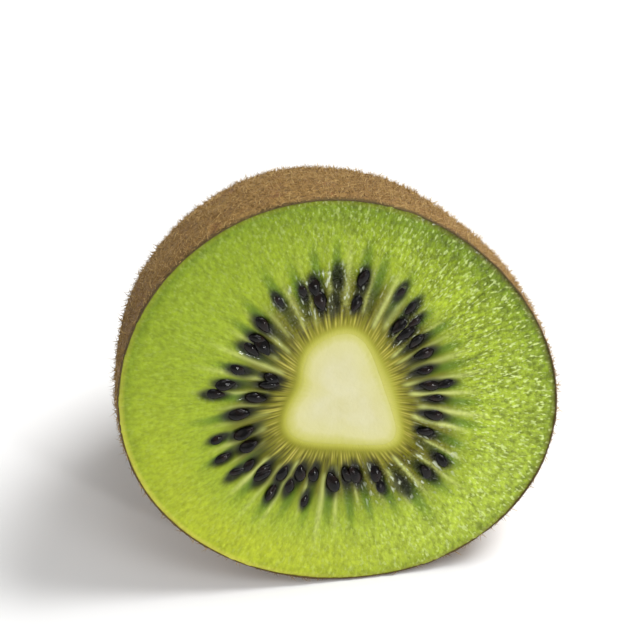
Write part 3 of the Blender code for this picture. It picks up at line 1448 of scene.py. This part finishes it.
@dataclass
class Skin:
    """The thin skin: a shell with a ragged edge at the cut and a button in a dimple at its closed end."""

    form: FruitForm
    columns: int = 320
    outer_rings: int = 120
    inner_rings: int = 10
    thickness: float = 0.16 * MM
    fuzz_room: float = 0.08 * MM
    button_radius: float = 2.1 * MM
    button_height: float = 0.9 * MM
    dimple_radius: float = 3.9 * MM
    dimple_width: float = 1.3 * MM
    dimple_depth: float = 0.55 * MM
    swellings: Grain = Grain(0.22 * MM, 9.0 * MM, 11.0)
    dents: Grain = Grain(0.07 * MM, 1.6 * MM, 12.0)
    pores: Grain = Grain(0.05 * MM, 0.6 * MM, 13.0)
    jags: Grain = Grain(0.07 * MM, 0.7 * MM, 8.0)
    jag_drop: float = 0.03 * MM
    jag_reach: float = 0.6 * MM
    button_edge: float = 0.6 * MM
    ring_height: float = 0.10 * MM
    ring_spacing: float = 0.30 * MM

    INNER_SIZE = 0.9
    OUTER_EDGE = 0.9
    BALD_SHARE = 0.85
    END_FROM = -0.8
    # Where each change starts and is full: from the long axis, below the cut, and above the ground.
    DARK_END = (6.5 * MM, 3.0 * MM)
    BALD_END = (3.0 * MM, 1.2 * MM)
    DARK_EDGE = (-0.9 * MM, -0.15 * MM)
    QUIET_EDGE = (0.0, 3.0 * MM)
    CLEAR_OF_GROUND = (0.05 * MM, 0.8 * MM)

    def build(self) -> bpy.types.Object:
        """Builds the piece.

        Returns:
            The finished skin.
        """
        inner = [(math.cos(t), -math.sin(t)) for t in np.linspace(math.pi / 2, 0.0, self.inner_rings)]
        outer = [(math.cos(t), -math.sin(t)) for t in np.linspace(0.0, math.pi / 2, self.outer_rings)]
        inner = [(across * self.INNER_SIZE, height * self.INNER_SIZE) for across, height in inner]
        profile = [(max(across, 0.0), height) for across, height in inner + outer]
        item = spin_profile("skin", profile, self.columns)
        plan = vertices_of(item.data)
        angles = np.arctan2(plan[:, 1], plan[:, 0])
        inside = np.linalg.norm(plan, axis=1) < (1.0 + self.INNER_SIZE) / 2
        plan /= np.where(inside, self.INNER_SIZE, 1.0)[:, None]
        share = np.hypot(plan[:, 0], plan[:, 1])
        length = self.form.depth - self.button_height
        places = np.column_stack([self.form.section(angles, share), plan[:, 2] * length])
        uneven = self.unevenness(places, angles, share, length)
        lift = np.where(inside, -self.thickness, uneven) - self.fuzz_room
        places += self.outward(places, length) * lift[:, None]
        near_cut = np.exp(-((places[:, 2] / self.jag_reach) ** 2)) * (share > self.OUTER_EDGE)
        jags = self.jags.over(places * (1, 1, 0)) - self.jag_drop
        places[:, 2] = np.minimum(places[:, 2], 0.0) + near_cut * jags
        move_vertices(item.data, places)
        from_axis = np.hypot(places[:, 0], places[:, 1])
        closed_end = smooth_step(from_axis, *self.DARK_END) * (places[:, 2] < self.END_FROM * length)
        cut_edge = smooth_step(places[:, 2], *self.DARK_EDGE)
        write_masks(item.data, {"closed_end": closed_end * 0.8, "cut_edge": cut_edge * 0.85})
        self.form.rest_on_ground(item.data, 0.0)
        put_in_place(item, self.form.matrix())
        item.data.materials.append(SkinFinish().build(self.form))
        hand_over(item, "skin", "flesh")
        return item

    def outward(self, places: np.ndarray, length: float) -> np.ndarray:
        """Gives the direction straight out of the fruit at each point of its plain oval.

        Args:
            places: Points on the plain oval.
            length: Depth of the plain oval.

        Returns:
            The directions, one a row.
        """
        wide = self.form.rim.steady
        slope = places / (wide**2, wide**2, length**2)
        return slope / np.maximum(np.linalg.norm(slope, axis=1), 1e-9)[:, None]

    def unevenness(
        self, places: np.ndarray, angles: np.ndarray, share: np.ndarray, length: float
    ) -> np.ndarray:
        """Gives how far the skin stands out of a plain oval: its lumps, the dimple and the button.

        Args:
            places: Points on the plain oval.
            angles: Their angles.
            share: The size of their cross-sections, as a share of the cut's.
            length: Depth of the plain oval.

        Returns:
            The lift of each point.
        """
        quiet = smooth_step(-places[:, 2], *self.QUIET_EDGE)
        lift = self.swellings.over(places) * quiet + self.dents.over(places) + self.pores.over(places)
        from_axis = share * self.form.rim.steady
        wavy = from_axis * (1.0 + 0.10 * np.sin(5 * angles + 1.0) + 0.06 * np.sin(9 * angles))
        dimple = np.exp(-(((wavy - self.dimple_radius) / self.dimple_width) ** 2))
        button = smooth_step(wavy - self.button_radius, self.button_edge, -self.button_edge)
        rings = self.ring_height * np.cos(wavy / self.ring_spacing) * button
        at_end = places[:, 2] < -0.5 * length
        return lift + at_end * (self.button_height * button - self.dimple_depth * dimple + rings)

    def fuzz_bed(self, skin: bpy.types.Object) -> bpy.types.Object:
        """Copies the outside of the skin for hair to grow on, bare where it rests and thin at the closed end.

        Args:
            skin: The finished skin.

        Returns:
            The copy, which is removed once the hair is planted.
        """
        bed = add_object("fuzz_bed", skin.data.copy())
        back = self.form.matrix().inverted()
        mesh = bmesh.new()
        mesh.from_mesh(bed.data)
        hidden = []
        for face in mesh.faces:
            normal = back.to_3x3() @ face.normal
            if (back @ face.calc_center_median()).dot(normal) < 0 or normal.z > 0.5:
                hidden.append(face)
        bmesh.ops.delete(mesh, geom=hidden, context="FACES")
        mesh.to_mesh(bed.data)
        mesh.free()
        places = vertices_of(bed.data)
        turn = np.array(back)
        local = places @ turn[:3, :3].T + turn[:3, 3]
        from_axis = np.hypot(local[:, 0], local[:, 1])
        bald = smooth_step(from_axis, *self.BALD_END) * (local[:, 2] < self.END_FROM * self.form.depth)
        clear = smooth_step(places[:, 2], *self.CLEAR_OF_GROUND)
        write_masks(bed.data, {"fuzz_share": clear * (1.0 - self.BALD_SHARE * bald)})
        return bed


@dataclass(frozen=True)
class Strand:
    """The size of one hair and how it bends."""

    length: float
    root: float
    bend: float
    segments: int = 2
    taper: float = 0.72


@dataclass
class Fuzz:
    """One kind of hair, scattered over the skin: each is a slim three-sided spike, bent on its way."""

    name: str
    form: FruitForm
    strand: Strand
    per_square_mm: float
    finish: FuzzFinish
    upright: float = 0.34
    combed: float = 0.35
    seed: int = 1
    ground_room: float = 0.03 * MM

    SMALLEST = 0.6
    LARGEST = 1.35

    def spike(self) -> bpy.types.Object:
        """Models one hair at the origin, rooted there and growing up z.

        Returns:
            The hair.
        """
        strand = self.strand
        activate(None)
        bpy.ops.mesh.primitive_circle_add(vertices=3, radius=strand.root, fill_type="NOTHING")
        item = bpy.context.object
        bpy.ops.object.mode_set(mode="EDIT")
        bpy.ops.mesh.select_all(action="SELECT")
        rise = strand.length / strand.segments
        for step in range(strand.segments):
            lean = strand.bend * strand.length * (2 * step + 1) / strand.segments**2
            bpy.ops.mesh.extrude_region_move(TRANSFORM_OT_translate={"value": (lean, 0, rise)})
            if step < strand.segments - 1:
                bpy.ops.transform.resize(value=(strand.taper, strand.taper, 1.0))
        bpy.ops.mesh.merge(type="CENTER")
        bpy.ops.mesh.select_all(action="SELECT")
        bpy.ops.mesh.normals_make_consistent(inside=False)
        bpy.ops.object.mode_set(mode="OBJECT")
        return item

    def scatter(self, hair: bpy.types.Object) -> bpy.types.NodeTree:
        """Builds the nodes that plant the hair over a surface, lying mostly along it.

        Args:
            hair: The hair to plant.

        Returns:
            The node group.
        """
        group = bpy.data.node_groups.new(self.name, "GeometryNodeTree")
        group.interface.new_socket("Geometry", in_out="INPUT", socket_type="NodeSocketGeometry")
        group.interface.new_socket("Geometry", in_out="OUTPUT", socket_type="NodeSocketGeometry")

        nodes = Nodes(group)
        share = nodes.node("GeometryNodeInputNamedAttribute", {"Name": "fuzz_share"}).outputs["Attribute"]
        density = nodes.maths("MULTIPLY", share, self.per_square_mm / MM**2)
        bed = {"Mesh": nodes.node("NodeGroupInput").outputs[0], "Density": density, "Seed": self.seed}
        planted = nodes.node("GeometryNodeDistributePointsOnFaces", bed)
        normal = planted.outputs["Normal"]
        anywhere = nodes.node(
            "FunctionNodeRandomValue",
            {"Min": (-1.0, -1.0, -1.0), "Max": (1.0, 1.0, 1.0), "Seed": self.seed + 1},
            data_type="FLOAT_VECTOR",
        ).outputs["Value"]
        aside = nodes.vector("CROSS_PRODUCT", normal, anywhere)
        across = nodes.vector("CROSS_PRODUCT", self.form.axes.col[2] * -self.combed, normal)
        combed = nodes.vector("CROSS_PRODUCT", normal, across)
        along = nodes.vector("ADD", aside, combed)
        lie = nodes.vector("ADD", along, nodes.vector("SCALE", normal, self.upright))
        turn = nodes.node("FunctionNodeAlignRotationToVector", {"Vector": lie}, axis="Z").outputs[0]
        sizes = {2: self.SMALLEST, 3: self.LARGEST, "Seed": self.seed + 2}
        size = nodes.node("FunctionNodeRandomValue", sizes).outputs[1]
        model = nodes.node("GeometryNodeObjectInfo", {"Object": hair}).outputs["Geometry"]
        plants = {"Points": planted.outputs["Points"], "Instance": model, "Rotation": turn, "Scale": size}
        hairs = nodes.node("GeometryNodeInstanceOnPoints", plants).outputs[0]
        real = nodes.node("GeometryNodeRealizeInstances", {0: hairs}).outputs[0]
        nodes.node("NodeGroupOutput", {0: real})
        return group

    def build(self, bed: bpy.types.Object) -> bpy.types.Object:
        """Builds the piece.

        Args:
            bed: The surface the hair grows on, in the frame's place.

        Returns:
            All hair of this kind, as one mesh.
        """
        hair = self.spike()
        item = add_object(self.name, bed.data.copy())
        modifier = item.modifiers.new("scatter", "NODES")
        modifier.node_group = self.scatter(hair)
        activate(item)
        bpy.ops.object.modifier_apply(modifier=modifier.name)
        each = len(hair.data.vertices)
        bpy.data.objects.remove(hair)
        places = vertices_of(item.data)
        places[:, 2] = np.maximum(places[:, 2], self.ground_room)
        move_vertices(item.data, places)
        tones = np.random.default_rng(self.seed).beta(2.0, 2.0, len(places) // each)
        write_masks(item.data, {"tone": np.repeat(tones, each)})
        item.data.materials.clear()
        item.data.materials.append(self.finish.build())
        hand_over(item, "skin")
        return item


# ---------------------------------------------------------------- the studio


class Side(Enum):
    """Where a light stands, as seen from the camera: degrees round from it, and degrees up."""

    KEY = (114.0, 56.0)
    FILL = (-60.0, 35.0)
    FRONT = (25.0, 62.0)
    GLINT = (40.0, 12.0)


@dataclass
class Studio:
    """A pale table, soft light from above on the right, and a long lens."""

    middle: Vector
    azimuth_deg: float = -9.5
    elevation_deg: float = 41.0
    distance: float = 0.55
    lens_mm: float = 268.0
    sensor_mm: float = 36.0
    floor_side: float = 3.0
    room_light: float = 0.38

    def aim(self, item: bpy.types.Object, azimuth_deg: float, elevation_deg: float, away: float) -> None:
        """Stands a light or the camera round the fruit and turns it to the fruit's middle.

        Args:
            item: The light or camera.
            azimuth_deg: Turn from the front, to the right.
            elevation_deg: Height above the table, as an angle.
            away: Its distance from the fruit's middle.
        """
        azimuth, elevation = math.radians(azimuth_deg), math.radians(elevation_deg)
        flat = Vector((math.sin(azimuth), -math.cos(azimuth), 0.0))
        toward = flat * math.cos(elevation) + Vector((0, 0, math.sin(elevation)))
        item.location = self.middle + toward * away
        item.rotation_euler = toward.to_track_quat("Z", "Y").to_euler()

    def build(self) -> None:
        """Sets up the table, the lights and the camera."""
        self.build_floor()
        self.build_light("key_light", Side.KEY, away=0.75, size=0.34, power=5.6)
        self.build_light("fill_light", Side.FILL, away=0.9, size=0.7, power=1.0)
        self.build_light("front_light", Side.FRONT, away=0.8, size=0.35, power=1.0)
        self.build_light("glint_light", Side.GLINT, away=0.8, size=0.05, power=1.8)
        self.build_world()
        self.build_camera()
        bpy.context.scene.view_settings.view_transform = "Standard"

    def build_floor(self) -> None:
        """Lays the table top."""
        activate(None)
        bpy.ops.mesh.primitive_plane_add(size=self.floor_side, location=(0, 0, 0))
        floor = bpy.context.object
        floor.name = floor.data.name = "table_top"
        recipe = Recipe("pale_table")
        place = recipe.node("TexCoord").outputs["Object"]
        tint = recipe.spread(recipe.noise(place, 9.0, 2.0), 0.3, 0.7)
        base = recipe.mix(tint, srgb(243, 243, 242), srgb(246, 246, 246))
        recipe.set(base_color=base, roughness=0.7, specular_ior_level=0.2)
        floor.data.materials.append(recipe.material)

    def build_light(self, name: str, side: Side, away: float, size: float, power: float) -> None:
        """Hangs one soft light.

        Args:
            name: The light's name.
            side: Where it stands.
            away: Its distance from the fruit.
            size: Width of its glowing square.
            power: Its power in watts.
        """
        lamp = bpy.data.lights.new(name, "AREA")
        lamp.size = size
        lamp.energy = power
        round_by, up_by = side.value
        self.aim(add_object(name, lamp), self.azimuth_deg + round_by, up_by, away)

    def build_world(self) -> None:
        """Fills the room with even white light."""
        world = bpy.data.worlds.new("white_room")
        world.use_nodes = True
        glow = world.node_tree.nodes["Background"]
        glow.inputs["Color"].default_value = (1.0, 1.0, 1.0, 1.0)
        glow.inputs["Strength"].default_value = self.room_light
        bpy.context.scene.world = world

    def build_camera(self) -> None:
        """Points the camera at the fruit's middle."""
        lens = bpy.data.cameras.new("camera")
        lens.lens = self.lens_mm
        lens.sensor_width = self.sensor_mm
        lens.clip_end = 10.0
        item = add_object("camera", lens)
        self.aim(item, self.azimuth_deg, self.elevation_deg, self.distance)
        bpy.context.scene.camera = item


def main() -> None:
    """Builds the half piece by piece, then the table, the lights and the camera."""
    logging.basicConfig(level=logging.INFO, format="%(name)s: %(message)s")
    form = FruitForm.measured(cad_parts["flesh"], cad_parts["core"])
    log.info("cut at %s, %.1f mm deep", [round(part / MM, 2) for part in form.place], form.depth / MM)
    ring = SeedRing(form)
    log.info("%d seeds in %d chambers", len(ring.seeds), len(ring.chambers))
    Flesh(form, ring).build()
    Core(form).build()
    Seeds(form, ring).build()
    skin = Skin(form)
    bed = skin.fuzz_bed(skin.build())
    down = FuzzFinish("soft_down", light=(178, 144, 82), dark=(120, 88, 44))
    bristle = FuzzFinish("pale_bristle", light=(206, 174, 112), dark=(138, 104, 56))
    short = Strand(length=0.60 * MM, root=0.034 * MM, bend=0.5)
    long = Strand(length=0.82 * MM, root=0.042 * MM, bend=0.6)
    Fuzz("down_fuzz", form, short, per_square_mm=4.6, finish=down, seed=21).build(bed)
    Fuzz("bristle_fuzz", form, long, per_square_mm=3.0, finish=bristle, seed=31).build(bed)
    bpy.data.objects.remove(bed)
    low, high = CAD_BOX
    Studio(middle=(Vector(low) + Vector(high)) / 2).build()


if __name__ == "__main__":
    main()
